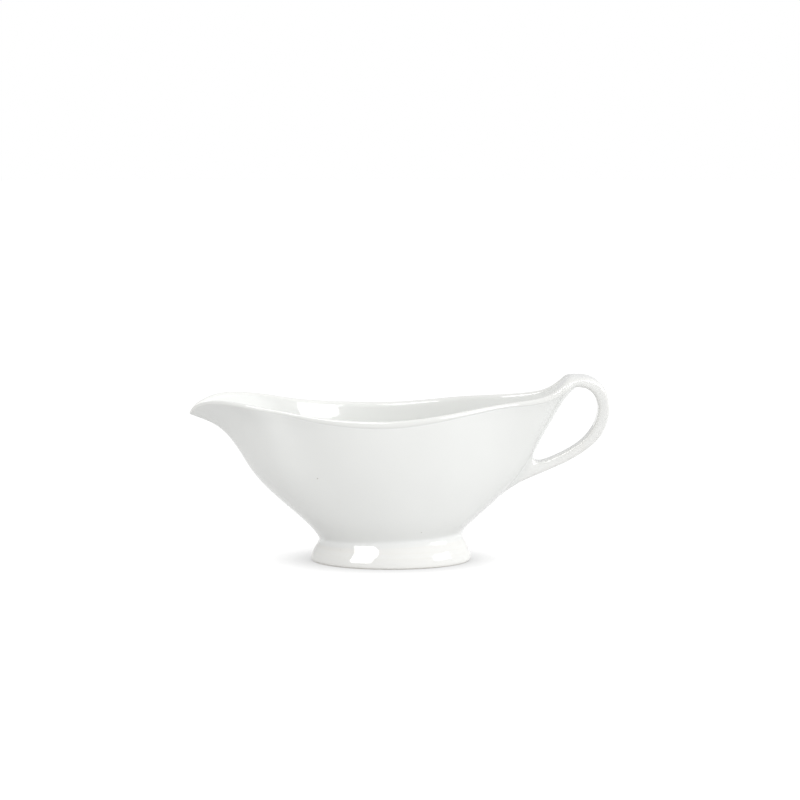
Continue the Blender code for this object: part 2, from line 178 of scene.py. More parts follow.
# Each record slot's glaze colour, turning bands and bare foot ring.
GLAZES = {
    "glazed_porcelain": ("porcelain_glaze", (0.86, 0.868, 0.852), 0.0, False),
    "foot_glaze": ("foot_glaze", (0.868, 0.868, 0.849), 0.22, True),
    "handle_glaze": ("handle_glaze", (0.866, 0.869, 0.854), 0.0, False),
    "luting_slip": ("slip_glaze", (0.858, 0.865, 0.850), 0.0, False),
}
# Where the glaze is thin, pooled, stained, specked or wiped off. The pooled colour is also lighter than the body, a
# painted light that lifts the shade in hollows and creases.
THIN_GLAZE = (0.80, 0.785, 0.75)
POOLED_GLAZE_AND_PAINTED_LIGHT = (0.93, 0.945, 0.94)
STAIN = (0.80, 0.76, 0.69)
SPECK = (0.20, 0.16, 0.12)
BARE_CLAY = (0.74, 0.70, 0.63)
# Specks: cells per metre, the share of cells without one, a speck's size in its cell and its strength, and then
# two specks on the near side with their radius in millimetres.
SPECK_SCALE = 95.0
SPECK_RARITY = 0.965
SPECK_SIZE = (0.02, 0.055)
SPECK_STRENGTH = 0.5
SPECKS = (((-44.6, -35.2, 50.0), 0.5), ((11.3, -30.9, 19.9), 0.4))
# An edge of this radius counts as fully convex, and the marking is smoothed over this many steps.
EDGE_RADIUS = 0.0035
EDGE_SMOOTHING = 6
# Noise scales, per metre, of the glaze's patches, grain, stains, gloss, slow waves and fine ripple, and how the
# foot's turning marks are stretched.
PATCH_SCALE = 22.0
GRAIN_SCALE = 1600.0
STAIN_SCALE = 70.0
GLOSS_SCALE = 55.0
WAVE_SCALE = 45.0
RIPPLE_SCALE = 420.0
TURNING_SCALE = (4.0, 4.0, 420.0)
GLOSS = (0.035, 0.075)
RIPPLE_SHARE = 0.035
TURNING_SHARE = 0.10
BUMP_DEPTH = 0.0004
BUMP_STRENGTH = 0.18
GLAZE_IOR = 1.55
# The wiped foot ring fades out between these heights, and is this much rougher.
BARE_HEIGHTS = (0.0002, 0.0007)
BARE_ROUGHNESS = 0.6

# The floor's colour as it lights the object, and as the camera and the glaze see it.
FLOOR_BOUNCE = (0.65, 0.65, 0.65)
FLOOR_SEEN = (0.22, 0.22, 0.22)
FLOOR_SIZE = 6.0
FLOOR_ROUGHNESS = 0.6
# How much the floor glows in the open and under the foot's edge, how near the foot the glow starts to fade, and the
# openness over which it does. The fading glow is a painted contact shadow.
FLOOR_GLOW = 0.85
CONTACT_GLOW = 0.45
CONTACT_REACH = 0.034
CONTACT_RANGE = (0.2, 0.9)

# The studio: light from all round, and lobes that brighten it: way to the lobe, sharpness, colour. The shine rows
# are what the glaze mirrors.
BACKDROP = (1.0, 1.0, 1.0)
WORLD_BASE = (0.842, 0.839, 0.834)
SHINE_BASE = (0.68, 0.68, 0.69)
SHINE_LOBES = (((0.75, 0.7, -0.1), 5.0, (0.35, 0.35, 0.35)),)
LOBES = (
    ((0.7, -0.7, 0.0), 3.0, (0.83, 0.84, 0.845)),
    ((1.0, 0.0, 0.0), 3.0, (0.83, 0.84, 0.85)),
    ((0.0, -1.0, 0.0), 1.0, (0.20, 0.20, 0.20)),
    ((0.0, 0.0, 1.0), 3.0, (0.06, 0.06, 0.06)),
)
# Softboxes that show in the glaze: the pieces they show in, azimuth from the front towards the handle, elevation,
# width, height and brightness. Angles are in degrees.
SOFTBOXES = (
    ("softbox_left", "foot", -37.0, 32.0, 0.50, 0.76, 9.0),
    ("softbox_left_rim", "bowl", -30.0, 54.0, 0.60, 0.40, 9.0),
    ("softbox_right", "bowl", 66.0, 18.0, 1.20, 0.50, 8.0),
    ("softbox_foot_low", "foot", 68.0, 16.0, 0.50, 0.28, 9.0),
    ("softbox_foot_high", "foot", 59.0, 51.0, 0.28, 0.06, 9.0),
)
SOFTBOX_DISTANCE = 1.0
SOFTBOX_AIM = (0.0, 0.0, 0.05)

# The camera stands in front, at right angles to the boat's length: metres, degrees and millimetres.
CAMERA_AIM_HEIGHT = 0.045
CAMERA_DISTANCE = 1.5
CAMERA_ELEVATION = 8.2
CAMERA_LENS = 122.7
CAMERA_SENSOR = 36.0
CAMERA_SHIFT = (0.002, 0.098)

PIECES = ("bowl", "foot", "handle", "foot_luting_seam", "handle_upper_luting_seam", "handle_lower_luting_seam")
BOWL, FOOT, HANDLE, FOOT_SEAM, UPPER_SEAM, LOWER_SEAM = range(6)


def placed(point):
    """A point of the tables in the frame's metres: the tables' foot is brought over the frame's foot."""
    return Vector(((point[0] - FOOT_X) * MM + FOOT_MIDDLE, point[1] * MM, point[2] * MM))


def unit(vectors):
    return vectors / np.maximum(np.linalg.norm(vectors, axis=-1, keepdims=True), 1e-12)


def ease(share):
    share = np.clip(share, 0.0, 1.0)
    return share * share * (3.0 - 2.0 * share)


def spline(knots, values, at):
    """The natural cubic spline through values at knots, read at the places in at."""
    knots = np.array(knots, float)
    values = np.array(values, float)
    count = len(knots)
    gap = np.diff(knots)
    step = np.diff(values, axis=0)
    matrix = np.zeros((count, count))
    right = np.zeros_like(values)
    matrix[0, :2] = 2.0, 1.0
    matrix[-1, -2:] = 1.0, 2.0
    right[0] = 3.0 * step[0] / gap[0]
    right[-1] = 3.0 * step[-1] / gap[-1]
    for i in range(1, count - 1):
        before, after = gap[i - 1], gap[i]
        matrix[i, i - 1:i + 2] = after, 2.0 * (before + after), before
        right[i] = 3.0 * (after * step[i - 1] / before + before * step[i] / after)
    slope = np.linalg.solve(matrix, right)
    at = np.atleast_1d(at)
    i = np.clip(np.searchsorted(knots, at, side="right") - 1, 0, count - 2)
    width = gap[i]
    t = (at - knots[i]) / width
    if values.ndim > 1:
        width = width[:, None]
        t = t[:, None]
    start = values[i] * (1 + 2 * t) + slope[i] * width * t
    end = values[i + 1] * (3 - 2 * t) - slope[i + 1] * width * (1 - t)
    return start * (1 - t) ** 2 + end * t ** 2


def lengths(points):
    return np.concatenate([[0.0], np.cumsum(np.linalg.norm(np.diff(points, axis=0), axis=1))])


def rim_stations():
    """MERIDIANS rows of the RIM table's columns, evenly spaced round the closed rim, from the tip."""
    half = np.array(RIM)
    mirrored = half[-2:0:-1] * np.array([1, -1, 1, 1, 1, 1, 1])
    loop = np.vstack([half, mirrored])
    count = len(loop)
    twice = np.vstack([loop, loop, loop[:1]])
    knots = lengths(twice[:, :3])
    start = knots[count // 2]
    fine = spline(knots, twice, np.linspace(start, start + knots[count], RIM_SAMPLES))
    length = lengths(fine[:, :3])
    wanted = np.linspace(0.0, length[-1], MERIDIANS + 1)[:-1]
    rows = np.stack([np.interp(wanted, length, column) for column in fine.T], axis=1)
    return np.roll(rows, MERIDIANS // 2, axis=0)


def rim_frame(line):
    """The directions out of the bowl and up, both square to the rim's line."""
    tangent = unit(np.roll(line, -1, axis=0) - np.roll(line, 1, axis=0))
    up = np.array([0.0, 0.0, 1.0])
    up = unit(up - tangent * (tangent @ up)[:, None])
    out = np.cross(tangent, up)
    if np.sum((line - line.mean(axis=0)) * out) < 0:
        out = -out
    return out, up


def rounded(ring, amount):
    """The ring with its sharp turns rounded, as a share of its length."""
    waves = np.fft.rfft(ring, axis=0)
    turns = np.arange(len(waves))[:, None] * 2 * math.pi
    return np.fft.irfft(waves * np.exp(-0.5 * (turns * amount) ** 2), len(ring), axis=0)


def shares():
    return np.arange(MERIDIANS) / MERIDIANS


def waist_ring():
    angle = math.pi + 2 * math.pi * shares()
    x = WAIST_A * np.cos(angle)
    y = -WAIST_B * np.sin(angle)
    return np.stack([FOOT_X + x, y, WAIST_Z + WAIST_TILT * x], axis=1)


def end_shares():
    """How much each meridian belongs to the pouring lip, and how much to the back."""
    from_tip = 2 * np.minimum(shares(), 1 - shares())
    return 1 - ease(from_tip / LIP_REACH), ease((from_tip - 1 + BACK_REACH) / BACK_REACH)


def wall_ring(waist, top, height):
    """The outer wall at a share of its height from the waist to the underside of the bead."""
    if height <= 0.0:
        return waist.copy()
    if height >= 1.0:
        return top.copy()
    lip, back = end_shares()
    middle = MERIDIANS // 2
    target = rounded(top, ROUNDING * (1 - height))
    z = waist[:, 2] * (1 - height) + target[:, 2] * height
    lip_x = spline(*np.array(LIP_LINE).T, z[0])[0]
    back_x = spline(*np.array(BACK_LINE).T, z[middle])[0]
    lip_spread = (lip_x - waist[0, 0]) / (target[0, 0] - waist[0, 0])
    back_spread = (back_x - waist[middle, 0]) / (target[middle, 0] - waist[middle, 0])
    side_spread = spline(*np.array(SIDE_SPREAD).T, height)[0]
    out = side_spread + lip * (lip_spread - side_spread) + back * (back_spread - side_spread)
    ring = waist * (1 - out[:, None]) + target * out[:, None]
    ring[:, 2] = z
    return ring


def base_ring(waist, share):
    """A ring of the bowl's underside: share is 1 at the waist and 0 in the middle."""
    middle = np.array([FOOT_X, 0.0, 0.0])
    ring = middle + (waist - middle) * share
    ring[:, 2] = WAIST_Z - BASE_DROP * (1 - share ** BASE_FLATNESS) + WAIST_TILT * (ring[:, 0] - FOOT_X)
    return ring


def foot_ring(waist, z, beyond):
    """A ring of the foot, beyond the waist by this much at the ends and a little less at the sides."""
    centre = np.array([FOOT_X, 0.0, 0.0])
    scale = 1 + np.array([beyond / WAIST_A, beyond * FOOT_NARROWING / WAIST_B, 0.0])
    ring = (waist - centre) * scale + centre
    ring[:, 2] = z * (1 + WAIST_TILT * (waist[:, 0] - FOOT_X) / WAIST_Z)
    return ring


def outward(below, here, above):
    """The outward unit normals of a ring between its two neighbours."""
    around = np.roll(here, -1, axis=0) - np.roll(here, 1, axis=0)
    normal = unit(np.cross(above - below, around))
    if np.sum((here - here.mean(axis=0)) * normal) < 0:
        normal = -normal
    return normal


def bezier(start, first, second, end, count):
    """count rings on the Bezier curves between two rings, without the ends."""
    made = []
    for i in range(1, count + 1):
        t = i / (count + 1)
        made.append(start * (1 - t) ** 3 + 3 * first * t * (1 - t) ** 2 + 3 * second * t * t * (1 - t) + end * t ** 3)
    return made


def columns(ring):
    """The cage's share of a smooth ring's points, closer together at the lip and at the back."""
    u = np.arange(COLUMNS) / COLUMNS
    half = 0.5 * EVEN
    share = (u + half * (u - np.sin(4 * math.pi * u) / (4 * math.pi))) / (1 + half)
    closed = np.vstack([ring, ring[:1]])
    places = np.arange(MERIDIANS + 1) / MERIDIANS
    return np.stack([np.interp(share, places, axis) for axis in closed.T], axis=1)


def softened(rings, step, reach):
    """A stack of rings at even steps, with its corners rounded along the meridians over a reach."""
    width = int(4 * reach / step)
    offsets = np.arange(-width, width + 1) * step
    weights = np.exp(-0.5 * (offsets / reach) ** 2)
    weights /= weights.sum()
    padded = np.concatenate([rings[:1].repeat(width, 0), rings, rings[-1:].repeat(width, 0)])
    return sum(w * padded[i:i + len(rings)] for i, w in enumerate(weights))


def even_steps(rings, step):
    """The same surface resampled so that its rings are a step apart on average."""
    gaps = np.linalg.norm(np.diff(rings, axis=0), axis=2).mean(axis=1)
    length = np.concatenate([[0.0], np.cumsum(gaps)])
    count = max(2, round(length[-1] / step) + 1)
    wanted = np.linspace(0.0, length[-1], count)
    i = np.clip(np.searchsorted(length, wanted, side="right") - 1, 0, len(gaps) - 1)
    t = ((wanted - length[i]) / gaps[i])[:, None, None]
    return rings[i] * (1 - t) + rings[i + 1] * t


class Surface:
    """The vessel's rings in order, from under the bowl, round the foot, up the wall, over the rim and down inside."""

    def __init__(self):
        stations = rim_stations()
        self.line = stations[:, :3]
        self.bead, self.proud, self.outer, self.inner = (column[:, None] for column in stations[:, 3:].T)
        self.out, self.up = rim_frame(self.line)
        self.waist = waist_ring()
        self.top = self.at_rim(self.outer, -self.bead)
        self.rings = []
        self.pieces = []
        self.add_foot()
        self.add_wall()
        self.add_rim()
        self.add_inside()

    def at_rim(self, out, up):
        return self.line + self.out * out + self.up * up

    def add(self, ring, piece):
        """Adds a ring; piece is the one that the strip below the ring belongs to."""
        self.rings.append(columns(ring))
        self.pieces.append(piece)
        return len(self.rings) - 1

    def add_foot(self):
        """The underside, the inside, base and outside of the foot, and the start of the wall, with soft joints."""
        for share in BASE_SHARES:
            self.add(base_ring(self.waist, share), BOWL)
        under = np.array([base_ring(self.waist, share) for share in np.linspace(BASE_SHARES[-1] + 0.04, 0.855, 12)])
        z, beyond = np.array(FOOT_INSIDE).T
        at = np.linspace(0.0, 1.0, 60)
        knots = lengths(np.array(FOOT_INSIDE)) / lengths(np.array(FOOT_INSIDE))[-1]
        inside = np.array([foot_ring(self.waist, *spline(knots, FOOT_INSIDE, a)[0]) for a in at])
        knots = lengths(np.array(FOOT_OUTSIDE)) / lengths(np.array(FOOT_OUTSIDE))[-1]
        outside = np.array([foot_ring(self.waist, *spline(knots, FOOT_OUTSIDE, a)[0]) for a in np.linspace(0, 1, 90)])
        wall = np.array([wall_ring(self.waist, self.top, h) for h in np.linspace(0.004, 0.085, 24)])
        upper = even_steps(np.concatenate([under, inside[:-4]]), FOOT_STEP)
        lower = even_steps(np.concatenate([outside[4:], wall]), FOOT_STEP)
        ground = even_steps(np.concatenate([inside[-4:], outside[:4]]), FOOT_STEP)
        upper = self.keep_ends(upper, softened(upper, FOOT_STEP, SMOOTHING))
        lower = self.keep_ends(lower, softened(lower, FOOT_STEP, SMOOTHING))
        inner_joint = self.nearest(upper, base_ring(self.waist, 0.87))
        outer_joint = self.nearest(lower, self.waist)
        self.add_strip(upper, inner_joint, (BOWL, FOOT_SEAM, FOOT))
        self.add_strip(ground, None, (FOOT, FOOT, FOOT))
        self.add_strip(lower, outer_joint, (FOOT, FOOT_SEAM, BOWL))

    def keep_ends(self, rings, soft):
        """The softened rings, fading back into the unsoftened ones at both ends."""
        count = len(rings)
        i = np.arange(count)
        margin = 3 * SMOOTHING / FOOT_STEP
        weight = ease(np.minimum(i, count - 1 - i) / margin)[:, None, None]
        return rings * (1 - weight) + soft * weight

    def nearest(self, rings, ring):
        return int(np.argmin(np.linalg.norm(rings - ring, axis=2).mean(axis=1)))

    def add_strip(self, rings, joint, pieces):
        """Adds every few rings of a fine stack; pieces are those before, at and after the joint."""
        every = max(1, round(CAGE_STEP / FOOT_STEP))
        for i in range(0, len(rings), every):
            if joint is None:
                piece = pieces[0]
            else:
                away = (i - joint) * FOOT_STEP
                piece = pieces[0] if away < -SEAM_REACH else pieces[1] if away <= SEAM_REACH else pieces[2]
            self.add(rings[i], piece)

    def add_wall(self):
        self.level = {}
        self.wall_rings = []
        for height in LEVELS:
            ring = wall_ring(self.waist, self.top, height)
            self.level[height] = self.add(ring, BOWL)

    def add_rim(self):
        bulge = self.outer + 1.35 * self.proud
        crest = ease((self.line[:, :1] - 84.0) / 9.0)
        low = self.at_rim(bulge, 0.92 * (crest - 1) * self.bead)
        high = self.at_rim(bulge, (0.12 * crest - 0.02) * self.bead)
        for ring in bezier(self.top, low, high, self.line, BEAD_ROWS):
            self.add(ring, BOWL)
        self.add(self.line, BOWL)
        self.edge = self.at_rim(-self.inner, -self.inner)
        first = self.at_rim(-0.6 * self.inner, 0.0)
        second = self.at_rim(-0.95 * self.inner, -0.45 * self.inner)
        for ring in bezier(self.line, first, second, self.edge, LIP_ROWS):
            self.add(ring, BOWL)

    def add_inside(self):
        """The inner wall, offset from the outer one, and the floor."""
        lip = end_shares()[0][:, None]
        shift = self.edge - self.top
        step = 0.01
        for height in LEVELS[::-1] + (0.06, 0.025):
            here = wall_ring(self.waist, self.top, height)
            below = wall_ring(self.waist, self.top, height - step)
            above = wall_ring(self.waist, self.top, min(1.0, height + step))
            blend = ease((height - RIM_BLEND) / (1 - RIM_BLEND))
            thickness = WALL * (1 - LIP_THINNING * lip * height) + (FLOOR - WALL) * (1 - height) ** 2
            ring = here - outward(below, here, above) * thickness * (1 - blend) + shift * blend
            if height < 1.0:
                ring = rounded(ring, INNER_ROUNDING * (1 - blend))
            self.add(ring, BOWL)
        for share in (0.86, 0.78) + BASE_SHARES[::-1]:
            ring = base_ring(self.waist, share)
            ring[:, 2] += FLOOR
            self.add(ring, BOWL)


def strap_section(row):
    """A ring of the strap, in the order of a root ring: inner face, far side, outer face, near side."""
    inner = np.array([row[0], 0.0, row[1]])
    outer = np.array([row[2], 0.0, row[3]])
    half = np.array([0.0, 0.5 * row[4], 0.0])
    far = [(-across, out) for across, out in SIDE_FACE]
    near = list(SIDE_FACE[::-1])
    top = [(-across, out) for across, out in OUTER_FACE] + list(OUTER_FACE[-2::-1])
    outline = list(INNER_FACE) + far + top + near
    return [inner + (outer - inner) * 0.5 * (out + 1) + half * across for across, out in outline]


def strap_rings():
    rows = np.array(STRAP)
    middles = 0.5 * (rows[:, 0:2] + rows[:, 2:4])
    knots = lengths(middles)
    spread = np.linspace(0.0, knots[-1], STRAP_RINGS)
    return [strap_section(row) for row in spline(knots, rows, spread)]


def root_ring(cage, low, high, upright):
    """The cage's vertices round a block of faces at the back, starting at the low row, or at the high one."""
    left, right = BACK - ROOT_HALF, BACK + ROOT_HALF
    start, end = (low, high) if upright else (high, low)
    step = 1 if upright else -1
    ring = [cage[start][j] for j in range(left, right + 1)]
    ring += [cage[i][right] for i in range(start + step, end, step)]
    ring += [cage[end][j] for j in range(right, left - 1, -1)]
    ring += [cage[i][left] for i in range(end - step, start, -step)]
    return ring


def make_cage():
    """The whole vessel as one coarse closed mesh, each face marked with its piece."""
    surface = Surface()
    bm = bmesh.new()
    cage = [[bm.verts.new(placed(p)) for p in ring] for ring in surface.rings]
    lower = (surface.level[LOWER_ROOT[0]], surface.level[LOWER_ROOT[1]])
    crease = surface.level[1.0]
    upper = (crease, crease + BEAD_ROWS - 1)
    for i in range(len(cage) - 1):
        for j in range(COLUMNS):
            inside = BACK - ROOT_HALF <= j < BACK + ROOT_HALF
            if inside and (lower[0] <= i < lower[1] or upper[0] <= i < upper[1]):
                continue
            k = (j + 1) % COLUMNS
            face = bm.faces.new((cage[i][j], cage[i][k], cage[i + 1][k], cage[i + 1][j]))
            face.material_index = surface.pieces[i + 1]
    for ring in (cage[0], cage[-1]):
        centre = sum((v.co for v in ring), Vector()) / COLUMNS
        hub = bm.verts.new(Vector((placed((FOOT_X, 0.0, 0.0)).x, 0.0, centre.z)))
        for j in range(COLUMNS):
            bm.faces.new((hub, ring[j], ring[(j + 1) % COLUMNS])).material_index = BOWL
    strap = [[bm.verts.new(placed(p)) for p in ring] for ring in strap_rings()]
    strap.insert(0, root_ring(cage, upper[0], upper[1], True))
    strap.append(root_ring(cage, lower[0], lower[1], False))
    for i in range(len(strap) - 1):
        piece = UPPER_SEAM if i == 0 else LOWER_SEAM if i == len(strap) - 2 else HANDLE
        count = len(strap[0])
        for j in range(count):
            k = (j + 1) % count
            face = bm.faces.new((strap[i][j], strap[i][k], strap[i + 1][k], strap[i + 1][j]))
            face.material_index = piece
    for vert in [v for v in bm.verts if not v.link_faces]:
        bm.verts.remove(vert)
    bmesh.ops.recalc_face_normals(bm, faces=bm.faces)
    mesh = bpy.data.meshes.new("vessel_cage")
    bm.to_mesh(mesh)
    bm.free()
    return mesh


def subdivided(mesh):
    """The cage as a fine smooth mesh."""
    holder = bpy.data.objects.new("vessel_cage", mesh)
    bpy.context.scene.collection.objects.link(holder)
    modifier = holder.modifiers.new("smooth", "SUBSURF")
    modifier.levels = SUBDIVISIONS
    modifier.render_levels = SUBDIVISIONS
    graph = bpy.context.evaluated_depsgraph_get()
    fine = bpy.data.meshes.new_from_object(holder.evaluated_get(graph))
    bpy.data.objects.remove(holder, do_unlink=True)
    return fine


def boundary_loops(bm):
    """The open edges of a mesh as loops of vertices."""
    links = {}
    for edge in bm.edges:
        if len(edge.link_faces) == 1:
            first, second = edge.verts
            links.setdefault(first, []).append(second)
            links.setdefault(second, []).append(first)
    loops = []
    while links:
        start = next(iter(links))
        loop = [start]
        before, here = None, start
        while True:
            after = [v for v in links.pop(here) if v is not before and (v in links or v is start)]
            if not after or after[0] is start:
                break
            before, here = here, after[0]
            loop.append(here)
        loops.append(loop)
    return loops


def close_inside(bm):
    """Joins the two rings of a luting seam through the wall, and caps the ends of the strap."""
    rings = []
    for loop in boundary_loops(bm):
        middle = sum((v.co for v in loop), Vector()) / len(loop)
        if middle.x > HANDLE_SIDE * MM:
            hub = bm.verts.new(middle)
            for first, second in zip(loop, loop[1:] + loop[:1]):
                bm.faces.new((hub, first, second)).material_index = 1
        else:
            rings.append((sum((v.co - middle).length for v in loop), loop))
    rings.sort(key=lambda item: item[0])
    half = len(rings) // 2
    inner, outer = rings[:half], rings[half:]
    inner.sort(key=lambda item: item[1][0].co.z)
    outer.sort(key=lambda item: item[1][0].co.z)
    for (_, small), (_, large) in zip(inner, outer):
        edges = [bm.edges.get((a, b)) for loop in (small, large) for a, b in zip(loop, loop[1:] + loop[:1])]
        for face in bmesh.ops.bridge_loops(bm, edges=edges)["faces"]:
            face.material_index = 1


def cut_piece(fine, normals, index, name):
    """The part of the fine mesh that belongs to one piece, closed inside, with the whole surface's shading."""
    bm = bmesh.new()
    bm.from_mesh(fine)
    origin = bm.verts.layers.int.new("origin")
    for vert in bm.verts:
        vert[origin] = vert.index + 1
    bmesh.ops.delete(bm, geom=[f for f in bm.faces if f.material_index != index], context="FACES")
    for face in bm.faces:
        face.material_index = 0
        face.smooth = True
    close_inside(bm)
    bmesh.ops.recalc_face_normals(bm, faces=bm.faces)
    mesh = bpy.data.meshes.new(name)
    loops = []
    bm.verts.index_update()
    for face in bm.faces:
        hidden = face.material_index == 1
        face.smooth = not hidden
        for loop in face.loops:
            source = loop.vert[origin] - 1
            loops.append((0.0, 0.0, 0.0) if hidden or source < 0 else tuple(normals[source]))
        face.material_index = 0
    bm.to_mesh(mesh)
    bm.free()
    mesh.normals_split_custom_set(loops)
    made = bpy.data.objects.new(name, mesh)
    bpy.context.scene.collection.objects.link(made)
    return made


def add_edge_layer(fine, normals):
    """Marks how convex the fine surface is at each point, from -1 in a hollow to 1 on an edge."""
    count = len(fine.vertices)
    points = np.empty(count * 3)
    fine.vertices.foreach_get("co", points)
    points = points.reshape(-1, 3)
    ends = np.empty(len(fine.edges) * 2, dtype=int)
    fine.edges.foreach_get("vertices", ends)
    first, second = ends.reshape(-1, 2).T
    gap = points[first] - points[second]
    size = np.maximum((gap * gap).sum(axis=1), 1e-12)
    links = np.bincount(first, minlength=count) + np.bincount(second, minlength=count)
    bend = np.bincount(first, (gap * normals[first]).sum(axis=1) / size, count)
    bend += np.bincount(second, (-gap * normals[second]).sum(axis=1) / size, count)
    bend = np.clip(2 * bend / links * EDGE_RADIUS, -1.0, 1.0)
    for _ in range(EDGE_SMOOTHING):
        near = np.bincount(first, bend[second], count) + np.bincount(second, bend[first], count)
        bend = 0.5 * bend + 0.5 * near / links
    layer = fine.attributes.new("edge", "FLOAT", "POINT")
    layer.data.foreach_set("value", bend)


class Nodes:
    """Adds shader nodes to a material or a world, and joins them."""

    def __init__(self, tree):
        self.tree = tree

    def add(self, kind, inputs=(), **settings):
        node = self.tree.nodes.new("ShaderNode" + kind)
        for name, value in settings.items():
            setattr(node, name, value)
        for name, value in dict(inputs).items():
            self.put(node.inputs[name], value)
        return node

    def put(self, socket, value):
        if isinstance(value, bpy.types.NodeSocket):
            self.tree.links.new(value, socket)
        else:
            socket.default_value = value

    def math(self, operation, first, second=0.0, third=0.0):
        return self.add("Math", {0: first, 1: second, 2: third}, operation=operation).outputs[0]

    def vector(self, operation, first, second=(0.0, 0.0, 0.0), output=0):
        return self.add("VectorMath", {0: first, 1: second}, operation=operation).outputs[output]

    def scaled(self, vector, share):
        return self.add("VectorMath", {0: vector, "Scale": share}, operation="SCALE").outputs[0]

    def ramp(self, value, low, high, start=0.0, end=1.0):
        """Start where value is low and end where it is high, easing between."""
        inputs = {"Value": value, "From Min": low, "From Max": high, "To Min": start, "To Max": end}
        return self.add("MapRange", inputs, interpolation_type="SMOOTHSTEP").outputs[0]

    def noise(self, where, scale, detail=2.0, roughness=0.5):
        inputs = {"Vector": where, "Scale": scale, "Detail": detail, "Roughness": roughness}
        return self.add("TexNoise", inputs).outputs["Fac"]

    def mix(self, share, first, second):
        node = self.add("Mix", data_type="RGBA")
        self.put(node.inputs[0], share)
        self.put(node.inputs[6], (*first, 1.0) if isinstance(first, tuple) else first)
        self.put(node.inputs[7], (*second, 1.0) if isinstance(second, tuple) else second)
        return node.outputs[2]


def specks(nodes, where):
    """How much of a dark speck of iron in the glaze there is at a point."""
    cells = nodes.add("TexVoronoi", {"Vector": where, "Scale": SPECK_SCALE})
    chosen = nodes.ramp(nodes.add("SeparateColor", {0: cells.outputs["Color"]}).outputs[0], SPECK_RARITY, 1.0)
    spot = nodes.ramp(cells.outputs["Distance"], *SPECK_SIZE, 1.0, 0.0)
    found = nodes.math("MULTIPLY", spot, chosen)
    for place, radius in SPECKS:
        away = nodes.vector("DISTANCE", where, tuple(placed(place)), output=1)
        found = nodes.math("MAXIMUM", found, nodes.ramp(away, 0.3 * radius * MM, radius * MM, 1.0, 0.0))
    return found


def glaze(name, colour, bands, bare_foot):
    """Clear glaze over white porcelain: thin and warm on edges, pooled and greenish in hollows with painted light
    lifting their shade, finely uneven.
    """
    made = bpy.data.materials.new(name)
    made.use_nodes = True
    nodes = Nodes(made.node_tree)
    shader = made.node_tree.nodes["Principled BSDF"]
    where = nodes.add("TexCoord").outputs["Object"]
    edge = nodes.add("Attribute", attribute_name="edge").outputs["Fac"]
    patches = nodes.noise(where, PATCH_SCALE, 3.0)
    grain = nodes.noise(where, GRAIN_SCALE, 2.0, 0.7)
    body = nodes.mix(nodes.ramp(patches, 0.3, 0.7), tuple(0.985 * c for c in colour), colour)
    body = nodes.mix(nodes.ramp(edge, 0.05, 0.75, 0.0, 0.2), body, THIN_GLAZE)
    # Hollows get the pooled glaze tint, lightened as painted light against the shade in creases.
    body = nodes.mix(nodes.ramp(edge, -0.05, -0.6, 0.0, 0.5), body, POOLED_GLAZE_AND_PAINTED_LIGHT)
    body = nodes.mix(nodes.ramp(grain, 0.35, 0.75, 0.0, 0.05), body, THIN_GLAZE)
    stain = nodes.noise(nodes.vector("ADD", where, (0.31, 0.17, 0.08)), STAIN_SCALE, 1.0)
    body = nodes.mix(nodes.ramp(stain, 0.70, 0.86, 0.0, 0.22), body, STAIN)
    body = nodes.mix(nodes.math("MULTIPLY", specks(nodes, where), SPECK_STRENGTH), body, SPECK)
    gloss = nodes.ramp(nodes.noise(where, GLOSS_SCALE, 3.0), 0.3, 0.7, *GLOSS)
    height = nodes.noise(where, WAVE_SCALE, 1.0)
    height = nodes.math("MULTIPLY_ADD", nodes.noise(where, RIPPLE_SCALE, 2.0), RIPPLE_SHARE, height)
    if bands:
        around = nodes.vector("MULTIPLY", where, TURNING_SCALE)
        turned = nodes.noise(around, 1.0, 2.0)
        body = nodes.mix(nodes.ramp(turned, 0.45, 0.75, 0.0, bands), body, STAIN)
        height = nodes.math("MULTIPLY_ADD", turned, TURNING_SHARE, height)
    if bare_foot:
        level = nodes.add("SeparateXYZ", {0: where}).outputs[2]
        bare = nodes.ramp(level, *BARE_HEIGHTS, 1.0, 0.0)
        body = nodes.mix(bare, body, BARE_CLAY)
        gloss = nodes.math("MULTIPLY_ADD", bare, BARE_ROUGHNESS, gloss)
    bump = nodes.add("Bump", {"Height": height, "Distance": BUMP_DEPTH, "Strength": BUMP_STRENGTH})
    nodes.put(shader.inputs["Normal"], bump.outputs[0])
    nodes.put(shader.inputs["Base Color"], body)
    nodes.put(shader.inputs["Roughness"], gloss)
    shader.inputs["IOR"].default_value = GLAZE_IOR
    return made


def softbox(name, receivers, azimuth, elevation, width, height, brightness):
    """A light that only shows in the glaze of the receivers, where the world lights the body under it."""
    data = bpy.data.lights.new(name, "AREA")
    data.shape = "RECTANGLE"
    data.size = width
    data.size_y = height
    data.energy = brightness * width * height * math.pi
    light = bpy.data.objects.new(name, data)
    bpy.context.scene.collection.objects.link(light)
    turn, rise = math.radians(azimuth), math.radians(elevation)
    way = Vector((math.sin(turn) * math.cos(rise), -math.cos(turn) * math.cos(rise), math.sin(rise)))
    light.location = Vector(SOFTBOX_AIM) + way * SOFTBOX_DISTANCE
    light.rotation_euler = (-way).to_track_quat("-Z", "Y").to_euler()
    light.visible_diffuse = False
    light.visible_camera = False
    light.light_linking.receiver_collection = receivers


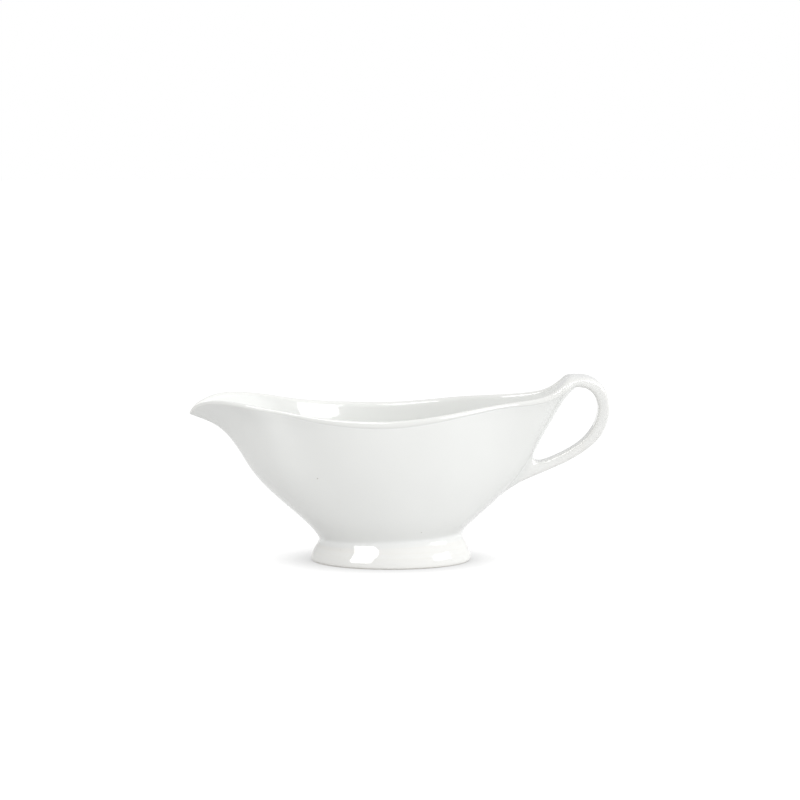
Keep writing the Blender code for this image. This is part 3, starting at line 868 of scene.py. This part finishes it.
def add_floor():
    """A white floor that glows as bright as the backdrop, with a painted contact shadow where the glow fades close to
    the foot.
    """
    bm = bmesh.new()
    bmesh.ops.create_grid(bm, x_segments=8, y_segments=8, size=FLOOR_SIZE)
    mesh = bpy.data.meshes.new("studio_floor")
    bm.to_mesh(mesh)
    bm.free()
    floor = bpy.data.objects.new("studio_floor", mesh)
    bpy.context.scene.collection.objects.link(floor)
    look = bpy.data.materials.new("floor_white")
    look.use_nodes = True
    nodes = Nodes(look.node_tree)
    shader = look.node_tree.nodes["Principled BSDF"]
    paths = nodes.add("LightPath").outputs
    seen = nodes.math("MAXIMUM", paths["Is Camera Ray"], paths["Is Glossy Ray"])
    nodes.put(shader.inputs["Base Color"], nodes.mix(seen, FLOOR_BOUNCE, FLOOR_SEEN))
    shader.inputs["Roughness"].default_value = FLOOR_ROUGHNESS
    shader.inputs["Specular IOR Level"].default_value = 0.0
    shader.inputs["Emission Color"].default_value = (1.0, 1.0, 1.0, 1.0)
    # Ambient occlusion dims the floor's glow near the foot: a painted contact shadow.
    clear = nodes.add("AmbientOcclusion", {"Distance": CONTACT_REACH}, samples=16).outputs["AO"]
    glow = nodes.ramp(clear, *CONTACT_RANGE, CONTACT_GLOW, FLOOR_GLOW)
    nodes.put(shader.inputs["Emission Strength"], nodes.math("MULTIPLY", seen, glow))
    mesh.materials.append(look)


def lobes(nodes, way, base, rows):
    """A base colour plus lobes of light: each is (way to it, sharpness, colour)."""
    light = base
    for place, sharpness, colour in rows:
        aim = tuple(Vector(place).normalized())
        share = nodes.math("MAXIMUM", nodes.vector("DOT_PRODUCT", way, aim, output=1), 0.0)
        share = nodes.math("POWER", share, sharpness)
        light = nodes.vector("ADD", light, nodes.scaled(colour, share))
    return light


def add_world():
    """White card all round the set, which the glaze mirrors a little darker than it lights the body."""
    world = bpy.data.worlds.new("studio")
    bpy.context.scene.world = world
    world.use_nodes = True
    nodes = Nodes(world.node_tree)
    back = world.node_tree.nodes["Background"]
    way = nodes.add("TexCoord").outputs["Generated"]
    paths = nodes.add("LightPath").outputs
    light = lobes(nodes, way, WORLD_BASE, LOBES)
    shine = lobes(nodes, way, SHINE_BASE, SHINE_LOBES)
    light = nodes.mix(paths["Is Glossy Ray"], light, shine)
    nodes.put(back.inputs["Color"], nodes.mix(paths["Is Camera Ray"], light, BACKDROP))


def add_camera():
    low, high = (Vector(corner) for corner in CAD_BOUNDS)
    middle = Vector((0.5 * (low.x + high.x), 0.0, low.z + CAMERA_AIM_HEIGHT))
    elevation = math.radians(CAMERA_ELEVATION)
    data = bpy.data.cameras.new("camera")
    data.lens = CAMERA_LENS
    data.sensor_width = CAMERA_SENSOR
    data.shift_x, data.shift_y = CAMERA_SHIFT
    camera = bpy.data.objects.new("camera", data)
    bpy.context.scene.collection.objects.link(camera)
    camera.location = middle + Vector((0.0, -math.cos(elevation), math.sin(elevation))) * CAMERA_DISTANCE
    camera.rotation_euler = (middle - camera.location).to_track_quat("-Z", "Y").to_euler()
    bpy.context.scene.camera = camera


def main():
    fine = subdivided(make_cage())
    normals = np.empty(len(fine.vertices) * 3)
    fine.vertices.foreach_get("normal", normals)
    normals = normals.reshape(-1, 3)
    add_edge_layer(fine, normals)
    looks = {slot: glaze(*row) for slot, row in GLAZES.items()}
    homes = {"foot": bpy.data.collections.new("foot_pieces"), "bowl": bpy.data.collections.new("bowl_pieces")}
    slots = {part["node"]: part["material_slot"] for part in frame["record"]["subparts"]}
    for index, node in enumerate(PIECES):
        piece = cut_piece(fine, normals, index, node + "_glazed")
        piece.data.materials.append(looks[slots[node]])
        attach(piece, "root")
        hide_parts(node)
        homes["foot" if node.startswith("foot") else "bowl"].objects.link(piece)
    bpy.data.meshes.remove(fine)
    add_floor()
    add_world()
    for name, shown, *rest in SOFTBOXES:
        softbox(name, homes[shown], *rest)
    add_camera()
    bpy.context.scene.view_settings.view_transform = "Standard"


main()
